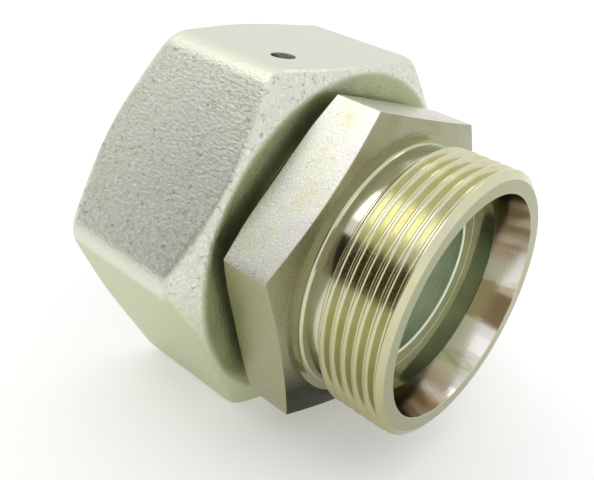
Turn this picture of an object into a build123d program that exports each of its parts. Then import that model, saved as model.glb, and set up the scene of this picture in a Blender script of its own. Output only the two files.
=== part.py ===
from build123d import *
from math import asin, atan2, cos, degrees, hypot, radians, sin, sqrt, tan
import os

# Adapter fitting for a 35 mm tube: a turned steel body with a hexagon and a threaded stud,
# and a forged swivel nut that a round wire holds on the body's spigot.
# The axis of the fitting is X, and the stud points to +X. The origin is on the axis,
# on the face of the body's hexagon that the stud leaves. The nut lies on one of its flats.

# Threaded stud with its tube socket
stud_thread_d = 45.0
stud_length = 15.5
stud_end_bevel = 1.25
stud_end_bevel_length = 0.65
relief_d = 42.4
relief_length = 3.4
relief_corner_radius = 1.2
seat_d = 35.3
seat_cone_angle = 24.0
cone_widening = 2.7
socket_depth = 10.5
socket_ledge = 2.9

# Hexagon of the body
body_hex_af = 50.0
body_hex_length = 10.0
body_hex_turn = -11.7
body_front_circle_d = 47.4
body_back_circle_d = 52.6
body_bevel_angle = 14.0

# Spigot that carries the nut, and the cone nose at its end
spigot_wall = 7.05
nose_tip_wall = 1.45
nose_cone_angle = 60.0
nose_setback = 5.8
nose_tip_round = 0.4

# Swivel nut
nut_af = 60.0
nut_length = 28.0
nut_gap = 1.7
nut_corner_radius = 2.8
nut_face_inset = 1.1
nut_bevel_angle = 30.0
nut_bevel_round = 0.6
nut_mouth_bevel = 1.0
nut_thread_minor_d = 44.85
nut_thread_length = 13.6
nut_relief_d = 48.4
nut_relief_length = 2.6
running_clearance = 0.3

# Retaining wire and the slanted hole that it is fed through
wire_d = 2.8
wire_setback = 8.8
wire_turn = 336.0
wire_hole_d = 3.4
wire_hole_offset = 9.4
wire_end_depth = 0.9
wire_nut_clearance = 0.1

# Sealing ring in the nose
o_ring_section_d = 2.6
o_ring_place = 0.5
o_ring_sink = 0.45
o_ring_clearance = 0.05

# Diameters that follow from the seat and the walls
mouth_d = seat_d + cone_widening
bore_d = seat_d - 2 * socket_ledge
spigot_d = bore_d + 2 * spigot_wall
nose_tip_d = bore_d + 2 * nose_tip_wall
nut_face_circle_d = nut_af - 2 * nut_face_inset

# Places along the axis
socket_floor_x = stud_length - socket_depth
cone_foot_x = stud_length - cone_widening / 2 / tan(radians(seat_cone_angle / 2))
hex_back_x = -body_hex_length
nut_front_x = hex_back_x - nut_gap
nut_back_x = nut_front_x - nut_length
wire_x = nut_front_x - wire_setback
nose_tip_x = nut_back_x + nose_setback
nose_cone_length = (spigot_d - nose_tip_d) / 2 / tan(radians(nose_cone_angle / 2))
nose_cone_x = nose_tip_x + nose_cone_length
thread_start_x = nut_back_x + nut_thread_length
relief_rise = (stud_thread_d - relief_d) / 2

# Wire ring: half of its section lies in the spigot and half in the nut
nut_bore_r = spigot_d / 2 + running_clearance
ring_r = (spigot_d / 2 + nut_bore_r) / 2
hole_mouth_r = hypot(wire_hole_offset, nut_af / 2)
tangent_length = sqrt(hole_mouth_r**2 - ring_r**2)
mouth_angle = degrees(atan2(nut_af / 2, -wire_hole_offset))
ring_start_angle = mouth_angle + degrees(asin(tangent_length / hole_mouth_r))
mouth_point = (-wire_hole_offset, nut_af / 2)
ring_start = (ring_r * cos(radians(ring_start_angle)), ring_r * sin(radians(ring_start_angle)))
inward = (
    (ring_start[0] - mouth_point[0]) / tangent_length,
    (ring_start[1] - mouth_point[1]) / tangent_length,
)
wire_tail_end = (
    mouth_point[0] + wire_end_depth * inward[0],
    mouth_point[1] + wire_end_depth * inward[1],
)
wire_plane = Plane.YZ.offset(wire_x)

# The envelopes reach a little past the hexagons' corners
envelope_margin = 1.0


# Turned envelope that takes the corners off a hexagon, with a cone at each end
def corner_envelope(front_x, back_x, front_circle_d, back_circle_d, bevel_angle, hex_af):
    reach_r = hex_af / sqrt(3) + envelope_margin
    front_drop = (reach_r - front_circle_d / 2) * tan(radians(bevel_angle))
    back_drop = (reach_r - back_circle_d / 2) * tan(radians(bevel_angle))
    with BuildPart(mode=Mode.PRIVATE) as envelope:
        with BuildSketch(Plane.XZ):
            with BuildLine():
                Polyline(
                    (back_x, 0),
                    (back_x, back_circle_d / 2),
                    (back_x + back_drop, reach_r),
                    (front_x - front_drop, reach_r),
                    (front_x, front_circle_d / 2),
                    (front_x, 0),
                    close=True,
                )
            make_face()
        revolve(axis=Axis.X)
    return envelope.part


# Fitting body: hexagon, stud, spigot and nose in one turned piece
body_envelope = corner_envelope(
    0.0, hex_back_x, body_front_circle_d, body_back_circle_d, body_bevel_angle, body_hex_af
)
with BuildPart() as fitting_body:
    with BuildSketch(Plane.YZ.offset(hex_back_x)):
        RegularPolygon(body_hex_af / 2, 6, major_radius=False, rotation=body_hex_turn)
    extrude(amount=body_hex_length)
    add(body_envelope, mode=Mode.INTERSECT)

    # Stud with its relief next to the hexagon and its bevelled end
    with BuildSketch(Plane.XZ):
        with BuildLine():
            Polyline(
                (hex_back_x / 2, 0),
                (hex_back_x / 2, relief_d / 2),
                (relief_length, relief_d / 2),
                (relief_length + relief_rise, stud_thread_d / 2),
                (stud_length - stud_end_bevel_length, stud_thread_d / 2),
                (stud_length, stud_thread_d / 2 - stud_end_bevel),
                (stud_length, 0),
                close=True,
            )
        make_face()
    revolve(axis=Axis.X)
    relief_foot = fitting_body.edges().filter_by(GeomType.CIRCLE).filter_by(
        lambda e: abs(e.center().X) < 0.01 and abs(e.radius - relief_d / 2) < 0.01
    )
    fillet(relief_foot, relief_corner_radius)

    # Spigot and its 60 degree cone nose
    with BuildSketch(Plane.XZ):
        with BuildLine():
            Polyline(
                (hex_back_x / 2, 0),
                (hex_back_x / 2, spigot_d / 2),
                (nose_cone_x, spigot_d / 2),
                (nose_tip_x, nose_tip_d / 2),
                (nose_tip_x, 0),
                close=True,
            )
        make_face()
    revolve(axis=Axis.X)
    nose_rim = fitting_body.edges().filter_by(GeomType.CIRCLE).sort_by(Axis.X)[0]
    fillet(nose_rim, nose_tip_round)

    # Tube socket with its 24 degree cone, and the bore through to the nose
    with BuildSketch(Plane.XZ):
        with BuildLine():
            Polyline(
                (nose_tip_x, 0),
                (nose_tip_x, bore_d / 2),
                (socket_floor_x, bore_d / 2),
                (socket_floor_x, seat_d / 2),
                (cone_foot_x, seat_d / 2),
                (stud_length, mouth_d / 2),
                (stud_length, 0),
                close=True,
            )
        make_face()
    revolve(axis=Axis.X, mode=Mode.SUBTRACT)

    # Round groove for the retaining wire
    with BuildSketch(Plane.XZ):
        with Locations((wire_x, ring_r)):
            Circle(wire_d / 2 + running_clearance)
    revolve(axis=Axis.X, mode=Mode.SUBTRACT)

    # Groove for the sealing ring, part way along the nose cone
    cone_half = radians(nose_cone_angle / 2)
    o_ring_x = nose_tip_x + nose_cone_length * o_ring_place + o_ring_sink * sin(cone_half)
    cone_r = nose_tip_d / 2 + nose_cone_length * o_ring_place * tan(cone_half)
    o_ring_r = cone_r - o_ring_sink * cos(cone_half)
    with BuildSketch(Plane.XZ):
        with Locations((o_ring_x, o_ring_r)):
            Circle(o_ring_section_d / 2 + o_ring_clearance)
    revolve(axis=Axis.X, mode=Mode.SUBTRACT)

# Swivel nut: forged hexagon with rounded edges, turned ends and a threaded mouth
nut_envelope = corner_envelope(
    nut_front_x, nut_back_x, nut_face_circle_d, nut_face_circle_d, nut_bevel_angle, nut_af
)
with BuildPart() as swivel_nut:
    with BuildSketch(Plane.YZ.offset(nut_back_x)):
        RegularPolygon(nut_af / 2, 6, major_radius=False)
    extrude(amount=nut_length)
    fillet(swivel_nut.edges().filter_by(Axis.X), nut_corner_radius)
    add(nut_envelope, mode=Mode.INTERSECT)
    end_rims = swivel_nut.edges().filter_by(GeomType.CIRCLE).filter_by(
        lambda e: abs(e.radius - nut_face_circle_d / 2) < 0.01
    )
    fillet(end_rims, nut_bevel_round)

    # Plain bore round the spigot, thread relief, threaded length and bevelled mouth
    with BuildSketch(Plane.XZ):
        with BuildLine():
            Polyline(
                (nut_front_x, 0),
                (nut_front_x, nut_bore_r),
                (thread_start_x + nut_relief_length, nut_bore_r),
                (thread_start_x + nut_relief_length, nut_relief_d / 2),
                (thread_start_x, nut_relief_d / 2),
                (thread_start_x, nut_thread_minor_d / 2),
                (nut_back_x + (nut_relief_d - nut_thread_minor_d) / 2, nut_thread_minor_d / 2),
                (nut_back_x, nut_relief_d / 2),
                (nut_back_x, 0),
                close=True,
            )
        make_face()
    revolve(axis=Axis.X, mode=Mode.SUBTRACT)
    front_mouth = swivel_nut.edges().filter_by(GeomType.CIRCLE).filter_by(
        lambda e: abs(e.center().X - nut_front_x) < 0.01 and abs(e.radius - nut_bore_r) < 0.01
    )
    chamfer(front_mouth, nut_mouth_bevel)

    # Groove for the wire, and the slanted hole that meets it at a tangent
    with BuildSketch(Plane.XZ):
        with Locations((wire_x, ring_r)):
            Circle(wire_d / 2 + wire_nut_clearance)
    revolve(axis=Axis.X, mode=Mode.SUBTRACT)
    hole_direction = Vector(0, inward[0], inward[1])
    hole_start = Vector(wire_x, *mouth_point) - hole_direction * wire_d
    with BuildSketch(Plane(origin=hole_start, x_dir=(1, 0, 0), z_dir=hole_direction)):
        Circle(wire_hole_d / 2)
    extrude(amount=wire_d + tangent_length, mode=Mode.SUBTRACT)

# Retaining wire: an open ring with a straight tail that ends inside the hole
with BuildPart() as retaining_wire:
    with BuildLine(wire_plane) as wire_path:
        Line(wire_tail_end, ring_start)
        CenterArc((0, 0), ring_r, ring_start_angle, wire_turn)
    with BuildSketch(Plane(origin=wire_path.line @ 0, z_dir=wire_path.line % 0)):
        Circle(wire_d / 2)
    sweep(path=wire_path.line)

# Sealing ring in the nose groove
with BuildPart() as sealing_ring:
    with BuildSketch(Plane.XZ):
        with Locations((o_ring_x, o_ring_r)):
            Circle(o_ring_section_d / 2)
    revolve(axis=Axis.X)

os.makedirs("parts", exist_ok=True)
fitting_body.part.label = "fitting_body"
export_step(fitting_body.part, "parts/fitting_body.step")
swivel_nut.part.label = "swivel_nut"
export_step(swivel_nut.part, "parts/swivel_nut.step")
retaining_wire.part.label = "retaining_wire"
export_step(retaining_wire.part, "parts/retaining_wire.step")
sealing_ring.part.label = "sealing_ring"
export_step(sealing_ring.part, "parts/sealing_ring.step")
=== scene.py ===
"""Adapter fitting: a plated hydraulic tube adapter with a threaded stud and a forged swivel nut.

Places are in the part's own frame: X along the fitting's axis out of the stud, Z up, and the
origin on the axis, on the hexagon's face beside the stud. Sizes are named in millimetres and
turned to metres where a mesh is made.
"""
from math import atan, cos, pi, radians, sin, sqrt, tan

import bpy
import numpy as np
from mathutils import Matrix, Vector


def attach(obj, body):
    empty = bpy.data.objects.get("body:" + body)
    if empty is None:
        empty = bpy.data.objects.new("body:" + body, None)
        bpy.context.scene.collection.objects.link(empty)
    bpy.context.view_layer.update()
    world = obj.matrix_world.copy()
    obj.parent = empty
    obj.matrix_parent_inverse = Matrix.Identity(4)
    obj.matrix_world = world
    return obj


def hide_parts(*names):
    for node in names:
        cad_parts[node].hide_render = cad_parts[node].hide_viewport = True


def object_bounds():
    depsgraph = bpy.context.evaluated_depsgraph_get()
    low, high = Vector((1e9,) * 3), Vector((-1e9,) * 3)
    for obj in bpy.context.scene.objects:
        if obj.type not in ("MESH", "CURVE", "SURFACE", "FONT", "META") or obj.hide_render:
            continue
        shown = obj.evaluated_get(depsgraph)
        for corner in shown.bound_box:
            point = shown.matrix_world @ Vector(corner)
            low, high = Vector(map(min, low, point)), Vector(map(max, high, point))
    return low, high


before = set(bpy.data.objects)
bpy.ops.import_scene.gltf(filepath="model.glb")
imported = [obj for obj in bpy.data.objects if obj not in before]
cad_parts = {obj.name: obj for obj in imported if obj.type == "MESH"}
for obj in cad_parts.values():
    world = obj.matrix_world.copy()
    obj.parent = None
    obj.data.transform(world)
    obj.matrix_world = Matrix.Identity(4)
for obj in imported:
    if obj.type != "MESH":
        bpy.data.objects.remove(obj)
cad_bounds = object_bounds()

MM = 0.001

# Camera, worked out from the photograph's ellipses and hexagon edges. The photograph is a crop
# of a wider frame, so its optical centre lies to the right of its middle.
CAMERA_PLACE = (52.844, -88.409, 54.624)
CAMERA_AIM = (-3.122, 0.847, 5.049)
CAMERA_ROLL = 11.726
CAMERA_FOCUS_PX = 704.44
OPTICAL_CENTRE_PX = (383.53, 230.53)
FRAME_CENTRE_PX = (297, 240)
FRAME_WIDTH_PX = 594
SENSOR_WIDTH = 36.0

# Stud: the thread, its relief beside the hexagon, and the bevelled end
STUD_END = 15.5
STUD_R = 22.5
STUD_PITCH = 2.0
THREAD_DEPTH = 1.1
RELIEF_R = 21.2
RELIEF_END = 3.4
RELIEF_FILLET = 1.2
FILLET_END_R = 22.8
END_BEVEL_R = 21.25
END_BEVEL_LENGTH = 0.65

# Thread profile: the flat crest and root as shares of the pitch, and how soft their corners are
CREST_SHARE = 0.2
ROOT_SHARE = 0.18
CORNER_EASE = 0.05

# Tube socket and bore. The sealing cone is a piece of its own, which laps a little way on to
# the mouth and the seat.
MOUTH_R = 19.0
SEAT_R = 17.65
CONE_FOOT = 9.149
CONE_SLOPE = (MOUTH_R - SEAT_R) / (STUD_END - CONE_FOOT)
CONE_LAP = 0.2
MOUTH_LAP = (STUD_END - CONE_LAP, MOUTH_R - CONE_LAP * CONE_SLOPE)
SEAT_LAP = (CONE_FOOT - CONE_LAP, SEAT_R)
SOCKET_FLOOR = 5.0
BORE_R = 14.75
BORE_BEVEL = 0.3

# Hexagon of the body
HEX_HALF = 25.0
HEX_BACK = -10.0
HEX_TURN = -11.7
HEX_FRONT_CIRCLE_R = 23.7
HEX_BACK_CIRCLE_R = 26.3
HEX_CIRCLE_MARGIN = 0.3
HEX_BEVEL = 14.0
HEX_EDGE_R = 0.3

# Spigot, wire groove and cone nose
SPIGOT_R = 21.8
SPIGOT_CORNER = 0.4
NOSE_TIP = -33.9
NOSE_TIP_R = 16.2
NOSE_TIP_BEVEL = 0.4
NOSE_CONE = -24.2
NOSE_RING_X = -28.83
NOSE_RING_R = 18.61
NOSE_GROOVE_R = 1.35

# Swivel nut
NUT_HALF = 30.0
NUT_FRONT = -11.7
NUT_BACK = -39.7
NUT_EDGE_R = 4.6
NUT_CIRCLE_R = 28.9
NUT_BEVEL = 30.0
NUT_BORE_R = 22.1
NUT_BORE_BEVEL = 1.0
NUT_THREAD_START = -26.1
NUT_RELIEF_END = -23.5
NUT_MAJOR_R = 23.9
NUT_MINOR_R = 22.425
NUT_PITCH = 2.309
NUT_MOUTH_R = 24.2
NUT_MOUTH_BEVEL = 0.3

# Slanted hole for the retaining wire in the nut's upper flat, and the rectangle round it that
# is made as a patch
HOLE_X = -20.5
HOLE_Y = -9.4
HOLE_R = 1.7
HOLE_RIM_R = 0.32
HOLE_WALL_DEPTHS = (1.0, 9.0)
RING_R = 21.95
PATCH_X = (HOLE_X - 3.0, HOLE_X + 3.0)
PATCH_Y = (HOLE_Y - 3.2, HOLE_Y + 3.2)
PATCH_SLACK = 0.01

# How fine the meshes are: columns go round the axis or the hole, steps go along
TURNED_COLUMNS = 288
SPIGOT_COLUMNS = 240
THREAD_COLUMNS = 216
THREAD_STEPS = 32
GROOVE_STEPS = 24
HOLE_COLUMNS = 96
MERGE_WITHIN = 1e-4

# Rounded corners: the most of a side that one may take, and the row that holds the flat beside it
ROUNDING_SHARE = 0.45
SUPPORT_ROW = 0.02
SUPPORT_SHARE = 0.04


# Meshes

def grid_faces(rows, columns, around):
    """Quads of a grid of rows by columns vertices; with around, the last column meets the first."""
    row = np.arange(rows - 1)[:, None] * columns
    here = np.arange(columns if around else columns - 1)[None, :]
    beside = (here + 1) % columns
    above = row + columns
    return np.stack([row + here, row + beside, above + beside, above + here], axis=-1).reshape(-1, 4)


def mesh_piece(name, parts, material, body, slot, node):
    """One object out of several (vertices in mm, quads) pairs, in place of a CAD node. Doubles are
    merged, quads that shrink to a line are dropped, and the faces are shaded smooth."""
    verts, faces, start = [], [], 0
    for points, quads in parts:
        verts.append(points.reshape(-1, 3) * MM)
        faces.append(quads + start)
        start += verts[-1].shape[0]
    verts = np.concatenate(verts)
    faces = np.concatenate(faces)
    cells = np.round(verts / (MERGE_WITHIN * MM)).astype(np.int64)
    _, first, shared = np.unique(cells, axis=0, return_index=True, return_inverse=True)
    verts = verts[first]
    faces = shared.reshape(-1)[faces]
    unlike = np.stack([faces != np.roll(faces, shift, axis=1) for shift in (1, 2)])
    whole = unlike.all(axis=(0, 2))
    pinched = faces[~whole]
    triangles = []
    for skip in range(4):
        near = pinched[:, skip] == pinched[:, (skip + 1) % 4]
        corner = np.delete(pinched[near], skip, axis=1)
        triangles.append(corner[(corner != np.roll(corner, 1, axis=1)).all(axis=1)])
    triangles = np.unique(np.concatenate(triangles), axis=0) if len(pinched) else np.zeros((0, 3), int)
    mesh = bpy.data.meshes.new(name)
    mesh.from_pydata(verts, [], faces[whole].tolist() + triangles.tolist())
    mesh.update()
    mesh.shade_smooth()
    mesh.materials.append(material)
    piece = bpy.data.objects.new(name, mesh)
    bpy.context.scene.collection.objects.link(piece)
    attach(piece, body)
    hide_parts(node)


def softened(corners, softness, steps=5):
    """Rows along a profile whose corners are rounded. corners is a list of (x, r) pairs, each a
    number or an array over the angle; softness is how far each corner's rounding reaches, in mm.
    A corner B between A and C becomes a parabola from B + d u to B + d v, where u and v point to
    A and C, with one more row a little outside each end, so that the flats shade flat."""
    count = max(np.size(value) for corner in corners for value in corner)
    points = []
    for corner in corners:
        wide = [np.broadcast_to(np.asarray(value, float), (count,)) for value in corner]
        points.append(np.stack(wide, axis=-1))
    rows = [points[0]]
    for before, here, after, reach in zip(points, points[1:], points[2:], softness[1:-1]):
        if reach == 0:
            rows.append(here)
            continue
        back = before - here
        ahead = after - here
        back_length = np.linalg.norm(back, axis=-1, keepdims=True) + 1e-9
        ahead_length = np.linalg.norm(ahead, axis=-1, keepdims=True) + 1e-9
        d = np.minimum(reach, ROUNDING_SHARE * np.minimum(back_length, ahead_length))
        u, v = back / back_length, ahead / ahead_length
        rows.append(here + u * (d + np.minimum(SUPPORT_ROW, SUPPORT_SHARE * back_length)))
        for t in np.linspace(0, 1, steps):
            rows.append((1 - t) ** 2 * (here + d * u) + 2 * t * (1 - t) * here + t**2 * (here + d * v))
        rows.append(here + v * (d + np.minimum(SUPPORT_ROW, SUPPORT_SHARE * ahead_length)))
    rows.append(points[-1])
    return np.stack(rows)


def around_axis(rows, angles, outward=True):
    """Surface with the vertex (x, r cos a, r sin a) for each profile row and each angle a."""
    x = np.broadcast_to(rows[..., 0], (rows.shape[0], angles.size))
    r = np.broadcast_to(rows[..., 1], (rows.shape[0], angles.size))
    points = np.stack([x, r * np.cos(angles), r * np.sin(angles)], axis=-1)
    quads = grid_faces(rows.shape[0], angles.size, True)
    return points, quads[:, ::-1] if outward else quads


def turned(corners, softness, outward=True):
    """Turned surface: a profile with rounded corners carried round the axis."""
    angles = np.linspace(0, 2 * pi, TURNED_COLUMNS, endpoint=False)
    return around_axis(softened(corners, softness), angles, outward)


def hexagon_radius(angles, half, edge_r, turn):
    """Distance from the axis to a hexagon with rounded edges, at each angle. With d the angle
    from the nearest flat's middle, a flat gives half / cos d. Near an edge, with e the angle from
    the edge, the rounding's circle gives c cos e + sqrt(edge_r^2 - c^2 sin^2 e), where c is the
    distance from the axis to that circle's centre."""
    from_flat = (angles - radians(turn) - radians(30)) % radians(60)
    from_flat = np.minimum(from_flat, radians(60) - from_flat)
    centre = (half - edge_r) / cos(radians(30))
    flat_end = atan((half - edge_r) * tan(radians(30)) / half)
    edge_angle = radians(30) - from_flat
    inside = np.maximum(edge_r**2 - (centre * np.sin(edge_angle)) ** 2, 0)
    rounded = centre * np.cos(edge_angle) + np.sqrt(inside)
    return np.where(from_flat <= flat_end, half / np.cos(from_flat), rounded)


def hexagon_angles(half, edge_r, turn, flat_steps, edge_steps):
    """Angles round a hexagon, closer together on its rounded edges, with the flats' ends hit."""
    flat_end = atan((half - edge_r) * tan(radians(30)) / half)
    flat = np.linspace(-flat_end, flat_end, flat_steps, endpoint=False)
    edge = np.linspace(flat_end, radians(60) - flat_end, edge_steps, endpoint=False)
    sector = np.concatenate([flat, edge])
    return (np.arange(6)[:, None] * radians(60) + sector + radians(turn + 30)).reshape(-1)


def thread_radius(phase, crest_r, depth):
    """Radius across one pitch of a 60 degree thread, crest at phase 0: a flat crest, straight
    flanks and a flat root, with the corners eased by a smooth maximum and minimum."""
    away = np.abs((phase + 0.5) % 1.0 - 0.5)
    root_start = 0.5 - ROOT_SHARE / 2
    flank = (root_start - away) / (root_start - CREST_SHARE / 2)
    eased_top = 1 - np.logaddexp(0, (1 - flank) / CORNER_EASE) * CORNER_EASE
    share = np.logaddexp(0, eased_top / CORNER_EASE) * CORNER_EASE
    return crest_r - depth * (1 - np.minimum(share, 1))


# Shapes of the fitting

def thread_surface(crest_r, depth, pitch, start, end, limit, inner=False):
    """Helical thread. The grid's rows follow the helix: row t, in pitches, lies at
    x = pitch (t + a / 2 pi) for each angle a, cut off at start and end. The radius is that of
    the thread profile at its phase, kept within limit(x), the turned shape that the thread
    was cut into. An inner thread is the same profile the other way out."""
    # One turn more before the start and two after the last whole one, so that both ends are filled
    turns = int((end - start) / pitch) + 3
    t = np.arange(turns * THREAD_STEPS + 1) / THREAD_STEPS - 1.0 + np.floor(start / pitch)
    angles = np.linspace(0, 2 * pi, THREAD_COLUMNS + 1)
    along = t[:, None] + angles[None, :] / (2 * pi)
    x = np.clip(pitch * along, start, end)
    phase = x / pitch - angles[None, :] / (2 * pi)
    if inner:
        r = 2 * crest_r - thread_radius(phase, crest_r, depth)
        r = np.maximum(r, limit(x))
    else:
        r = np.minimum(thread_radius(phase, crest_r, depth), limit(x))
    points = np.stack([x, r * np.cos(angles), r * np.sin(angles)], axis=-1)
    quads = grid_faces(points.shape[0], points.shape[1], False)
    return points, quads[:, ::-1] if inner else quads


def stud_blank(x):
    """Radius of the turned stud before its thread: a rise out of the relief at 45 degrees, and
    the bevel at the end, a straight line from (end - bevel length, stud) to (end, bevel)."""
    rise = RELIEF_R + (x - RELIEF_END)
    bevel = END_BEVEL_R + (STUD_END - x) * (STUD_R - END_BEVEL_R) / END_BEVEL_LENGTH
    return np.minimum(np.minimum(rise, bevel), STUD_R)


def nut_blank(x):
    """Radius of the nut's bore before its thread: the relief's end and the mouth's bevel, both
    at 45 degrees."""
    mouth = NUT_MOUTH_R - (x - NUT_BACK)
    relief = NUT_MAJOR_R + (x - NUT_THREAD_START)
    return np.maximum(np.maximum(mouth, relief), NUT_MINOR_R)


def body_hexagon(angles):
    """Hexagon of the body from the relief's fillet to the spigot. With R the hexagon's radius at an
    angle, each end is flat out to its circle and then slopes back by tan(bevel) times the rest of
    the way out to R. The circles stay a margin inside the flats."""
    r = hexagon_radius(angles, HEX_HALF, HEX_EDGE_R, HEX_TURN)
    slope = tan(radians(HEX_BEVEL))
    front_r = np.minimum(HEX_FRONT_CIRCLE_R, r - HEX_CIRCLE_MARGIN)
    back_r = np.minimum(HEX_BACK_CIRCLE_R, r - HEX_CIRCLE_MARGIN)
    front_edge = -(r - HEX_FRONT_CIRCLE_R) * slope
    back_edge = HEX_BACK + np.maximum(r - HEX_BACK_CIRCLE_R, 0) * slope
    corners = [
        (0.0, FILLET_END_R), (0.0, front_r), (front_edge, r), (back_edge, r), (HEX_BACK, back_r),
        (HEX_BACK, SPIGOT_R + SPIGOT_CORNER), (HEX_BACK - SPIGOT_CORNER, SPIGOT_R),
    ]
    return softened(corners, [0, 0.25, 0.16, 0.16, 0.25, 0.1, 0], steps=7)


def spigot_rows():
    """Outside of the spigot and nose, from the hexagon to the tip: a cylinder, the nose cone,
    and the sealing ring's round groove, an arc about the ring's centre. With h that centre's
    height over the cone and g the groove's radius, the arc starts and ends at the angle whose
    cosine is -h / g, counted from the line that stands square on the cone."""
    slope = (SPIGOT_R - NOSE_TIP_R) / (NOSE_CONE - NOSE_TIP)
    length = sqrt(1 + slope**2)
    height = ((NOSE_RING_R - NOSE_TIP_R) - slope * (NOSE_RING_X - NOSE_TIP)) / length
    turn = np.arctan2(sqrt(NOSE_GROOVE_R**2 - height**2), -height)
    a = np.linspace(turn, 2 * pi - turn, GROOVE_STEPS)
    cone = np.array([1.0, slope]) / length
    out = np.array([-slope, 1.0]) / length
    centre = np.array([NOSE_RING_X, NOSE_RING_R])
    arc = centre + NOSE_GROOVE_R * (np.cos(a)[:, None] * out + np.sin(a)[:, None] * cone)
    spigot = [(HEX_BACK - SPIGOT_CORNER, SPIGOT_R), (NOSE_CONE, SPIGOT_R), tuple(arc[0])]
    tip = [tuple(arc[-1]), (NOSE_TIP, NOSE_TIP_R), (NOSE_TIP, NOSE_TIP_R - NOSE_TIP_BEVEL)]
    before = softened(spigot, [0, 0.2, 0])[:, 0]
    after = softened(tip, [0, 0.3, 0])[:, 0]
    return np.concatenate([before, arc[1:-1], after])[:, None]


def nut_outside(angles):
    """Nut's hexagon between its two turned ends, from the front mouth round to the back mouth.
    The bevels are cones that start at the face circle, and the forged edges are rounded. Two more
    rows cross the flats where the wire hole's patch begins and ends."""
    r = hexagon_radius(angles, NUT_HALF, NUT_EDGE_R, 0.0)
    drop = (r - NUT_CIRCLE_R) * tan(radians(NUT_BEVEL))
    corners = [
        (NUT_FRONT - NUT_BORE_BEVEL, NUT_BORE_R), (NUT_FRONT, NUT_BORE_R + NUT_BORE_BEVEL),
        (NUT_FRONT, NUT_CIRCLE_R), (NUT_FRONT - drop, r),
        (PATCH_X[1], r), (PATCH_X[0], r),
        (NUT_BACK + drop, r), (NUT_BACK, NUT_CIRCLE_R),
        (NUT_BACK, NUT_MOUTH_R + NUT_MOUTH_BEVEL), (NUT_BACK + NUT_MOUTH_BEVEL, NUT_MOUTH_R),
    ]
    return softened(corners, [0, 0.2, 0.8, 1.1, 0, 0, 1.1, 0.8, 0.2, 0], steps=7)


def without_patch(surface):
    """The nut's surface without the quads whose four corners all lie on the hole's patch."""
    points, quads = surface
    x, y, z = points.reshape(-1, 3).T
    along = (x > PATCH_X[0] - PATCH_SLACK) & (x < PATCH_X[1] + PATCH_SLACK)
    across = (y > PATCH_Y[0] - PATCH_SLACK) & (y < PATCH_Y[1] + PATCH_SLACK)
    inside = along & across & (z > NUT_HALF - PATCH_SLACK)
    return points, quads[~inside[quads].all(axis=1)]


def wire_hole():
    """Slanted hole in the nut's upper flat. The patch runs from a rectangle on the flat to the
    hole's mouth, an ellipse longer across the nut by 1 / cos(slant), and over its rounded rim;
    then the wall follows the slant down to the wire groove. Each is a straight blend from one
    closed curve to the next. Gives the patch and the wall."""
    reach = sqrt(HOLE_Y**2 + NUT_HALF**2)
    slant = np.arcsin(RING_R / reach) - atan(-HOLE_Y / NUT_HALF)
    a = np.linspace(0, 2 * pi, HOLE_COLUMNS, endpoint=False)
    side = np.maximum(np.abs(np.cos(a)), np.abs(np.sin(a)))
    flat = np.full_like(a, NUT_HALF)
    square = np.stack([
        (PATCH_X[0] + PATCH_X[1]) / 2 + (PATCH_X[1] - PATCH_X[0]) / 2 * np.cos(a) / side,
        (PATCH_Y[0] + PATCH_Y[1]) / 2 + (PATCH_Y[1] - PATCH_Y[0]) / 2 * np.sin(a) / side,
        flat,
    ], axis=-1)

    def ring(radius, depth):
        """The hole's ellipse at a radius, moved down the slant by depth."""
        x = HOLE_X + radius * np.cos(a)
        y = HOLE_Y + radius / cos(slant) * np.sin(a)
        return np.stack([x, y, flat], axis=-1) + depth * np.array([0, -sin(slant), -cos(slant)])

    rim = ring(HOLE_R + HOLE_RIM_R, 0)
    rows = [square]
    for t in (0.5, 0.9, 1.0):
        rows.append(square * (1 - t) + rim * t)
    for t in np.linspace(0, pi / 2, 6)[1:]:
        rows.append(ring(HOLE_R + HOLE_RIM_R * (1 - sin(t)), HOLE_RIM_R * (1 - cos(t))))
    for depth in HOLE_WALL_DEPTHS:
        rows.append(ring(HOLE_R, depth))
    points = np.stack(rows)
    # The wall's darker finish starts part way down the rounded rim
    wall_start = 5
    patch = (points[:wall_start + 1], grid_faces(wall_start + 1, a.size, True))
    wall = (points[wall_start:], grid_faces(len(rows) - wall_start, a.size, True))
    return patch, wall


# Materials. A noise pattern keeps mostly between these two values.

NOISE_LOW = 0.3
NOISE_HIGH = 0.7


def linear(code):
    """An sRGB hex colour as linear red, green, blue and alpha."""
    parts = [int(code[i:i + 2], 16) / 255 for i in (1, 3, 5)]
    return [p / 12.92 if p <= 0.04045 else ((p + 0.055) / 1.055) ** 2.4 for p in parts] + [1.0]


def add(tree, kind, inputs=(), settings=(), stops=()):
    """Adds a node. inputs says what each socket gets, by its name or number: another node's
    output, a number, a vector or a hex colour. settings are the node's own properties, and
    stops the (place, colour) stops of its colour ramp."""
    node = tree.nodes.new(kind)
    for key, value in dict(settings).items():
        setattr(node, key, value)
    for socket, source in dict(inputs).items():
        if isinstance(source, bpy.types.NodeSocket):
            tree.links.new(source, node.inputs[socket])
        else:
            node.inputs[socket].default_value = linear(source) if isinstance(source, str) else source
    if stops:
        elements = node.color_ramp.elements
        while len(elements) < len(stops):
            elements.new(0.5)
        for element, (place, colour) in zip(elements, stops):
            element.position = place
            element.color = linear(colour)
    return node


def new_material(name):
    """An empty node material and its tree."""
    material = bpy.data.materials.new(name)
    material.use_nodes = True
    material.node_tree.nodes.clear()
    return material, material.node_tree


def coordinate(tree, kind, axis):
    """One coordinate of the place in metres, kind Object, or of the normal, kind Normal."""
    vector = add(tree, "ShaderNodeTexCoord").outputs[kind]
    return add(tree, "ShaderNodeSeparateXYZ", {"Vector": vector}).outputs[axis]


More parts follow.
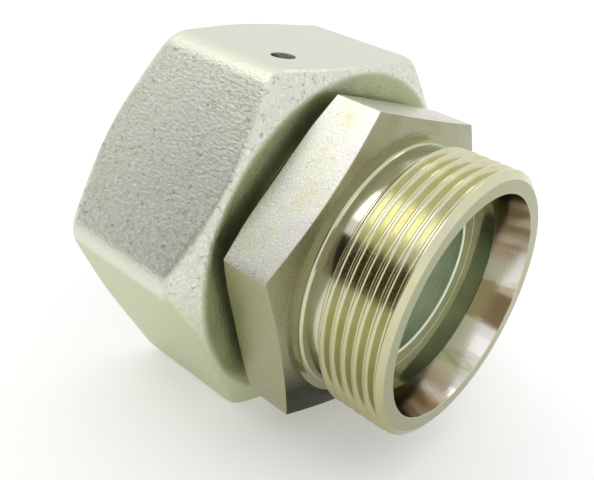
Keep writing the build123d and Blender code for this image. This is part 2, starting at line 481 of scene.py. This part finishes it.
def round_axis(tree, kind):
    """Angle round the axis of the place or of the normal: the angle whose tangent is z / y."""
    sides = {0: coordinate(tree, kind, "Z"), 1: coordinate(tree, kind, "Y")}
    return add(tree, "ShaderNodeMath", sides, {"operation": "ARCTAN2"}).outputs[0]


def part_way(tree, source, start, end):
    """0 to 1 as a pattern or a coordinate goes from start to end."""
    ends = {"From Min": start, "From Max": end, "To Min": 0.0, "To Max": 1.0}
    return add(tree, "ShaderNodeMapRange", {"Value": source, **ends}).outputs["Result"]


def normal_part(tree, axis, start, end):
    """0 to 1 as one coordinate of the normal goes from start to end."""
    return part_way(tree, coordinate(tree, "Normal", axis), start, end)


def place_part(tree, axis, start, end):
    """0 to 1 as one coordinate of the place goes from start to end, in mm."""
    return part_way(tree, coordinate(tree, "Object", axis), start * MM, end * MM)


def turning_marks(tree, spacing):
    """Grooves left by a lathe tool: noise over (x, distance from the axis) alone, at the given
    spacing in mm. A finishing cut leaves them about 0.1 mm apart, which is too fine to show, so
    they are drawn coarser."""
    off_axis = add(tree, "ShaderNodeCombineXYZ", {
        "X": coordinate(tree, "Object", "Y"), "Y": coordinate(tree, "Object", "Z"),
    })
    reach = add(tree, "ShaderNodeVectorMath", {0: off_axis.outputs["Vector"]}, {"operation": "LENGTH"})
    lathe = add(tree, "ShaderNodeCombineXYZ", {
        "X": coordinate(tree, "Object", "X"), "Y": reach.outputs["Value"],
    })
    marks = {"Vector": lathe.outputs["Vector"], "Scale": 1 / (spacing * MM), "Detail": 2.0}
    return add(tree, "ShaderNodeTexNoise", marks).outputs["Fac"]


def grain(tree, size, detail=2.0, stretch=1.0):
    """Even grain of the given size in mm, drawn out along the axis by stretch. Milling, blasting
    and moulding leave 0.05 to 0.2 mm, which is too fine to show, so it is drawn coarser."""
    place = add(tree, "ShaderNodeTexCoord").outputs["Object"]
    drawn = {0: place, 1: (1 / stretch, 1, 1)}
    drawn_out = add(tree, "ShaderNodeVectorMath", drawn, {"operation": "MULTIPLY"}).outputs[0]
    noise = {"Vector": drawn_out, "Scale": 1 / (size * MM), "Detail": detail}
    return add(tree, "ShaderNodeTexNoise", noise).outputs["Fac"]


def specks(tree, size, start, end):
    """Small scattered specks: 1 in the cores of a noise of the given size in mm."""
    return part_way(tree, grain(tree, size, 3.0), start, end)


def tint(tree, size, *stops):
    """Slow drift of the colour through its stops, over patches of the given size in mm."""
    place = add(tree, "ShaderNodeTexCoord").outputs["Object"]
    noise = {"Vector": place, "Scale": 1 / (size * MM), "Detail": 3.0, "Roughness": 0.55}
    drift = add(tree, "ShaderNodeTexNoise", noise).outputs["Fac"]
    return add(tree, "ShaderNodeValToRGB", {"Fac": drift}, stops=stops).outputs["Color"]


def layered(tree, colour, *layers):
    """Colours laid over one another, each by a (mask, colour) pair. With m the mask, the result
    is (1 - m) times the colour below plus m times the layer's."""
    for mask, over in layers:
        both = {"Factor": mask, 6: colour, 7: over}
        colour = add(tree, "ShaderNodeMix", both, {"data_type": "RGBA"}).outputs[2]
    return colour


def nut_edges(tree):
    """1 on the nut's rounded edges, 0 on its flats and its ends. With a the normal's angle round
    the axis, a - 30 degrees, folded to and fro over 30 degrees, is the angle from a flat."""
    shifted = {0: round_axis(tree, "Normal"), 1: radians(30)}
    from_flat = add(tree, "ShaderNodeMath", shifted, {"operation": "SUBTRACT"}).outputs[0]
    to_and_fro = {0: from_flat, 1: radians(30)}
    folded = add(tree, "ShaderNodeMath", to_and_fro, {"operation": "PINGPONG"}).outputs[0]
    edge = part_way(tree, folded, radians(2), radians(18))
    side = normal_part(tree, "X", 0.6, 0.3)
    return add(tree, "ShaderNodeMath", {0: edge, 1: side}, {"operation": "MULTIPLY"}).outputs[0]


def hexagon_colour(tree):
    """Milled flats near white with yellow and lilac drifts and dark pits. Painted shade: the
    underside darker, the front face a darker olive, and that face darkest towards its lower end."""
    flats = tint(tree, 7, (0.3, "#CCCBB2"), (0.45, "#D2D3C6"), (0.6, "#D0CDC8"), (0.75, "#C9C7AE"))
    # Painted shade: the front face gets a darker olive than the flats, going near black towards its lower
    # end
    front = tint(tree, 10, (0.3, "#949272"), (0.5, "#A2A184"), (0.7, "#9A987E"))
    front_with_painted_shade = layered(tree, front, (place_part(tree, "Z", -5, -16), "#35341F"))
    return layered(
        tree, flats,
        (specks(tree, 0.4, 0.6, 0.75), "#A7A38C"),
        # Painted shade: the underside and the front face are painted darker, as the light falls on them
        (normal_part(tree, "Z", 0.15, -0.2), "#ABA987"),
        (normal_part(tree, "X", 0.6, 0.9), front_with_painted_shade),
    )


def turned_colour(tree):
    """Bright turned sides in a pale sage drift, with painted shade: a darker olive on faces square to the
    axis.
    """
    sides = tint(tree, 9, (0.3, "#C3C39F"), (0.5, "#CCCCB4"), (0.7, "#C8C4B2"))
    # Painted shade: faces square to the axis are painted a darker olive
    return layered(tree, sides, (normal_part(tree, "X", 0.7, 0.95), "#9C9F7C"))


def thread_colour(tree):
    """Yellow drift on the thread, with painted shade: more olive towards the underside."""
    sides = tint(tree, 6, (0.3, "#CCC89C"), (0.5, "#D4D2AE"), (0.7, "#D0CEB6"))
    # Painted shade: the underside of the thread is painted more olive
    return layered(tree, sides, (normal_part(tree, "Z", 0.25, -0.3), "#A8A578"))


def cone_colour(tree):
    """Painted reflections: streaks that follow the angle round the axis, with ragged borders: sage, brown
    and pale.
    """
    ragged = add(tree, "ShaderNodeMapRange", {
        "Value": grain(tree, 1.2, 3.0, 6.0),
        "From Min": NOISE_LOW, "From Max": NOISE_HIGH, "To Min": -0.06, "To Max": 0.06,
    })
    angle = {0: round_axis(tree, "Object"), 1: ragged.outputs["Result"]}
    moved = add(tree, "ShaderNodeMath", angle, {"operation": "ADD"}).outputs[0]
    share = part_way(tree, moved, radians(-130), radians(60))
    sage, brown, pale = "#B9BC9E", "#B5A68C", "#DEDAD5"
    # Painted reflections: these streaks stand for the surroundings that the polished cone mirrors
    painted_reflection_streaks = (
        (0.0, sage), (0.06, brown), (0.2, brown), (0.24, pale), (0.32, pale), (0.36, sage), (0.4, pale),
        (0.49, pale), (0.51, brown), (0.62, brown), (0.64, pale), (0.72, pale), (0.78, brown), (1.0, sage),
    )
    return add(tree, "ShaderNodeValToRGB", {"Fac": share}, stops=painted_reflection_streaks).outputs["Color"]


def nut_colour(tree):
    """Blasted flats grey-green with pale specks and dark pits. Painted light and shade: the upper flat
    paler, the underside creamier, a painted ivory highlight on the rounded edges, and the front face dark
    olive."""
    flats = tint(tree, 16, (0.3, "#D3D8C6"), (0.5, "#D9DECE"), (0.7, "#D5DACC"))
    front = tint(tree, 8, (0.3, "#99A27C"), (0.5, "#ACB48C"), (0.7, "#A0A886"))
    return layered(
        tree, flats,
        (specks(tree, 0.45, 0.5, 0.72), "#F0F1E8"),
        (specks(tree, 0.7, 0.58, 0.75), "#A6AB9A"),
        # Painted light: the underside creamier and the upper flat paler, as the light falls on them
        (normal_part(tree, "Z", 0.0, -0.22), "#CBCFAC"),
        (normal_part(tree, "Z", 0.8, 0.97), "#D9DCCE"),
        # Painted highlight: the rounded edges are painted a pale ivory
        (nut_edges(tree), "#E2E4D2"),
        # Painted shade: the front face, in the gap beside the body's hexagon, is painted dark olive
        (normal_part(tree, "X", 0.9, 0.99), front),
    )


def finish(name, colour, rough, rough_by, height, depth, metallic=1.0):
    """A finished surface, a full metal unless it says otherwise. colour, rough_by and height are
    patterns, each a function and the sizes that it takes: the colour, the pattern that the
    roughness follows between the two values of rough, and the fine relief, depth mm high."""
    material, tree = new_material(name)
    painted, worn, relief = (make(tree, *sizes) for make, *sizes in (colour, rough_by, height))
    roughness = add(tree, "ShaderNodeMapRange", {
        "Value": worn, "From Min": NOISE_LOW, "From Max": NOISE_HIGH, "To Min": rough[0], "To Max": rough[1],
    })
    bump = add(tree, "ShaderNodeBump", {"Height": relief, "Distance": depth * MM, "Strength": 1.0})
    shader = add(tree, "ShaderNodeBsdfPrincipled", {
        "Base Color": painted, "Metallic": metallic,
        "Roughness": roughness.outputs["Result"], "Normal": bump.outputs["Normal"],
    })
    add(tree, "ShaderNodeOutputMaterial", {"Surface": shader.outputs["BSDF"]})
    return material


# Turned steel, zinc plated with a yellow-green passivate: fine tool marks round the axis break
# the gloss into thin rings
turned_zinc = finish(
    "turned_yellow_green_zinc", (turned_colour,),
    rough=(0.08, 0.18), rough_by=(turning_marks, 0.12), height=(turning_marks, 0.2), depth=0.003,
)
# Burnished sealing cone: brown and pale streaks across it, painted reflections of its surroundings
cone_zinc = finish(
    "burnished_cone_painted_streaks", (cone_colour,),
    rough=(0.08, 0.18), rough_by=(turning_marks, 0.12), height=(turning_marks, 0.2), depth=0.003,
)
# Drilled bore: greener and duller than the turned places
drilled_zinc = finish(
    "drilled_green_zinc", (tint, 9, (0.3, "#CDD5C2"), (0.5, "#D5DCC9"), (0.7, "#D0D8CA")),
    rough=(0.26, 0.34), rough_by=(turning_marks, 0.3), height=(turning_marks, 0.5), depth=0.003,
)
# Cut thread: the troughs keep a stronger yellow than the rest of the stud
thread_zinc = finish(
    "cut_thread_yellow_zinc", (thread_colour,),
    rough=(0.12, 0.22), rough_by=(grain, 0.5), height=(turning_marks, 0.2), depth=0.003,
)
# Milled hexagon: satin with a fine even grain
milled_zinc = finish(
    "milled_satin_zinc", (hexagon_colour,),
    rough=(0.24, 0.36), rough_by=(grain, 0.25), height=(grain, 0.2, 4.0), depth=0.04,
)
# Forged and shot-blasted nut: a coarse dull grain, drawn out along the nut, that sparkles
forged_zinc = finish(
    "forged_blasted_zinc", (nut_colour,),
    rough=(0.34, 0.5), rough_by=(grain, 0.4), height=(grain, 0.45, 5.0, 2.0), depth=0.1,
)
# Drilled hole wall: painted a dark grey all over
hole_zinc = finish(
    "dark_drilled_hole", (tint, 3, (0.3, "#6C6F60"), (0.7, "#7E8172")),
    rough=(0.4, 0.5), rough_by=(grain, 0.3), height=(grain, 0.3), depth=0.01,
)
# Drawn spring wire, bare: grey with a soft gloss along its length
drawn_wire = finish(
    "drawn_spring_wire", (tint, 5, (0.3, "#8E8E88"), (0.7, "#A4A49C")),
    rough=(0.32, 0.45), rough_by=(grain, 0.3), height=(grain, 0.2), depth=0.01,
)
# Moulded nitrile rubber: near black and dull, with a faint bloom
moulded_rubber = finish(
    "moulded_nitrile_rubber", (tint, 4, (0.3, "#1C1C1C"), (0.7, "#262625")),
    rough=(0.5, 0.65), rough_by=(grain, 0.6), height=(grain, 0.3), depth=0.01, metallic=0.0,
)


# Pieces. Each rides on a body, is given its finish and stands for a CAD node.

ON_BODY = ("body", "turned_steel", "fitting_body")
ON_NUT = ("nut", "forged_steel", "swivel_nut")

body_angles = hexagon_angles(HEX_HALF, HEX_EDGE_R, HEX_TURN, flat_steps=24, edge_steps=8)
mesh_piece("body_hexagon", [around_axis(body_hexagon(body_angles), body_angles)], milled_zinc, *ON_BODY)
mesh_piece(
    "stud_thread",
    [thread_surface(STUD_R, THREAD_DEPTH, STUD_PITCH, RELIEF_END, STUD_END, stud_blank)],
    thread_zinc, *ON_BODY,
)
mesh_piece(
    "thread_relief",
    [turned([(RELIEF_END, RELIEF_R), (0.0, RELIEF_R), (0.0, FILLET_END_R)], [0, RELIEF_FILLET, 0])],
    turned_zinc, *ON_BODY,
)
seat = [SEAT_LAP, (SOCKET_FLOOR, SEAT_R), (SOCKET_FLOOR, BORE_R + BORE_BEVEL)]
end_face = [(STUD_END, END_BEVEL_R), (STUD_END, MOUTH_R), MOUTH_LAP]
mesh_piece(
    "tube_socket",
    [turned(seat, [0, 0.15, 0], outward=False), turned(end_face, [0, 0.15, 0], outward=False)],
    turned_zinc, *ON_BODY,
)
cone = [MOUTH_LAP, (CONE_FOOT, SEAT_R), SEAT_LAP]
mesh_piece("sealing_cone", [turned(cone, [0, 0.1, 0], outward=False)], cone_zinc, *ON_BODY)
bore = [
    (SOCKET_FLOOR, BORE_R + BORE_BEVEL), (SOCKET_FLOOR - BORE_BEVEL, BORE_R),
    (NOSE_TIP, BORE_R), (NOSE_TIP, NOSE_TIP_R - NOSE_TIP_BEVEL),
]
mesh_piece("through_bore", [turned(bore, [0, 0.1, 0.2, 0], outward=False)], drilled_zinc, *ON_BODY)
spigot_angles = np.linspace(0, 2 * pi, SPIGOT_COLUMNS, endpoint=False)
mesh_piece("spigot_and_nose", [around_axis(spigot_rows(), spigot_angles)], turned_zinc, *ON_BODY)

# The nut's columns also hit the sides of the hole's patch
nut_angles = np.sort(np.concatenate([
    hexagon_angles(NUT_HALF, NUT_EDGE_R, 0.0, flat_steps=24, edge_steps=14) % (2 * pi),
    np.arctan2(NUT_HALF, PATCH_Y),
]))
nut_surface = without_patch(around_axis(nut_outside(nut_angles), nut_angles))
hole_patch, hole_wall = wire_hole()
mesh_piece("nut_forging", [nut_surface, hole_patch], forged_zinc, *ON_NUT)
mesh_piece("wire_hole_wall", [hole_wall], hole_zinc, *ON_NUT)
plain_bore = [
    (NUT_FRONT - NUT_BORE_BEVEL, NUT_BORE_R), (NUT_RELIEF_END, NUT_BORE_R), (NUT_RELIEF_END, NUT_MOUTH_R),
    (NUT_THREAD_START, NUT_MOUTH_R), (NUT_THREAD_START, NUT_MAJOR_R),
]
nut_thread = thread_surface(
    NUT_MINOR_R, NUT_MAJOR_R - NUT_MINOR_R, NUT_PITCH, NUT_BACK + NUT_MOUTH_BEVEL, NUT_THREAD_START,
    nut_blank, inner=True,
)
mesh_piece(
    "nut_bore", [turned(plain_bore, [0, 0.2, 0.2, 0.2, 0], outward=False), nut_thread],
    turned_zinc, *ON_NUT,
)

for node, material in (("retaining_wire", drawn_wire), ("sealing_ring", moulded_rubber)):
    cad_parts[node].data.materials.clear()
    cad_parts[node].data.materials.append(material)


# Camera

def place_camera():
    """Camera from its place, the point that it looks at and its roll, all in the part's frame.
    The lens is the sensor's width times the focal length in pixels over the frame's width."""
    data = bpy.data.cameras.new("photo_camera")
    data.sensor_width = SENSOR_WIDTH
    data.lens = CAMERA_FOCUS_PX * SENSOR_WIDTH / FRAME_WIDTH_PX
    data.shift_x = (FRAME_CENTRE_PX[0] - OPTICAL_CENTRE_PX[0]) / FRAME_WIDTH_PX
    data.shift_y = (OPTICAL_CENTRE_PX[1] - FRAME_CENTRE_PX[1]) / FRAME_WIDTH_PX
    data.clip_start = 0.001
    data.clip_end = 20.0
    camera = bpy.data.objects.new("photo_camera", data)
    bpy.context.scene.collection.objects.link(camera)
    place = Vector(CAMERA_PLACE) * MM
    look = (Vector(CAMERA_AIM) * MM - place).to_track_quat("-Z", "Y").to_matrix()
    roll = Matrix.Rotation(radians(CAMERA_ROLL), 3, "Z")
    camera.matrix_world = Matrix.Translation(place) @ (look @ roll).to_4x4()
    bpy.context.scene.camera = camera


# Floor, world and lamps, in metres and watts

PART_MIDDLE = (-0.012, 0.0, 0.0)
FLOOR_GAP = 0.0001
FLOOR_REACH = 3.0
FLOOR_GLOW = 0.28
WORLD_FILL = 0.88


def seen_directly(tree):
    """1 for the rays that show the background: from the camera, in gloss and through glass."""
    path = add(tree, "ShaderNodeLightPath")
    seen = path.outputs["Is Camera Ray"]
    for ray in ("Is Glossy Ray", "Is Transmission Ray"):
        either = {0: seen, 1: path.outputs[ray]}
        seen = add(tree, "ShaderNodeMath", either, {"operation": "MAXIMUM"}).outputs[0]
    return seen


def pale_floor(z):
    """Wide floor just under the part, white where it is seen and lit, with the part's shadow."""
    mesh = bpy.data.meshes.new("pale_floor")
    r = FLOOR_REACH
    mesh.from_pydata([(-r, -r, z), (r, -r, z), (r, r, z), (-r, r, z)], [], [(0, 1, 2, 3)])
    material, tree = new_material("pale_floor")
    matt = add(tree, "ShaderNodeBsdfDiffuse", {"Color": "#F0F0F0"})
    glow = add(tree, "ShaderNodeMath", {0: seen_directly(tree), 1: FLOOR_GLOW}, {"operation": "MULTIPLY"})
    white = add(tree, "ShaderNodeEmission", {"Strength": glow.outputs[0], "Color": "#FFFFFF"})
    both = add(tree, "ShaderNodeAddShader", {0: matt.outputs[0], 1: white.outputs[0]})
    add(tree, "ShaderNodeOutputMaterial", {"Surface": both.outputs[0]})
    mesh.materials.append(material)
    floor = bpy.data.objects.new("pale_floor", mesh)
    bpy.context.scene.collection.objects.link(floor)


def white_world(fill):
    """World that is white where it is seen and lights the part softly from all round."""
    world = bpy.data.worlds.new("white_world")
    world.use_nodes = True
    tree = world.node_tree
    tree.nodes.clear()
    levels = {"Value": seen_directly(tree), "To Min": fill, "To Max": 1.0}
    strength = add(tree, "ShaderNodeMapRange", levels).outputs["Result"]
    light = add(tree, "ShaderNodeBackground", {"Strength": strength, "Color": "#FFFFFF"})
    add(tree, "ShaderNodeOutputWorld", {"Surface": light.outputs["Background"]})
    bpy.context.scene.world = world


def facing_part(place):
    """Rotation that turns an object's -Z side to the part's middle."""
    return (Vector(PART_MIDDLE) - Vector(place)).to_track_quat("-Z", "Y").to_euler()


def soft_lamp(name, place, size, power):
    """Square soft lamp that points at the part's middle."""
    data = bpy.data.lights.new(name, "AREA")
    data.shape = "SQUARE"
    data.size = size
    data.energy = power
    lamp = bpy.data.objects.new(name, data)
    lamp.location = place
    lamp.rotation_euler = facing_part(place)
    bpy.context.scene.collection.objects.link(lamp)


def card(name, place, width, height, colour):
    """Plain card outside the frame that darkens what the metal mirrors."""
    mesh = bpy.data.meshes.new(name)
    w, h = width / 2, height / 2
    mesh.from_pydata([(-w, -h, 0), (w, -h, 0), (w, h, 0), (-w, h, 0)], [], [(0, 1, 2, 3)])
    material, tree = new_material(name)
    shader = add(tree, "ShaderNodeBsdfDiffuse", {"Color": colour})
    add(tree, "ShaderNodeOutputMaterial", {"Surface": shader.outputs["BSDF"]})
    mesh.materials.append(material)
    piece = bpy.data.objects.new(name, mesh)
    piece.location = place
    piece.rotation_euler = facing_part(place)
    bpy.context.scene.collection.objects.link(piece)


bpy.context.scene.view_settings.view_transform = "Standard"
place_camera()
pale_floor(cad_bounds[0][2] - FLOOR_GAP)
white_world(WORLD_FILL)
soft_lamp("upper_left_lamp", place=(-0.353, -0.256, 0.647), size=0.32, power=0.54)
soft_lamp("overhead_lamp", place=(0.06, -0.30, 0.52), size=0.2, power=0.035)
soft_lamp("far_lamp", place=(0.0, 0.3, 0.52), size=0.12, power=0.1)
card("left_card", place=(-0.20, -0.33, 0.12), width=0.24, height=0.23, colour="#2E271C")
card("front_card", place=(0.02, -0.40, 0.15), width=0.22, height=0.28, colour="#B8A896")
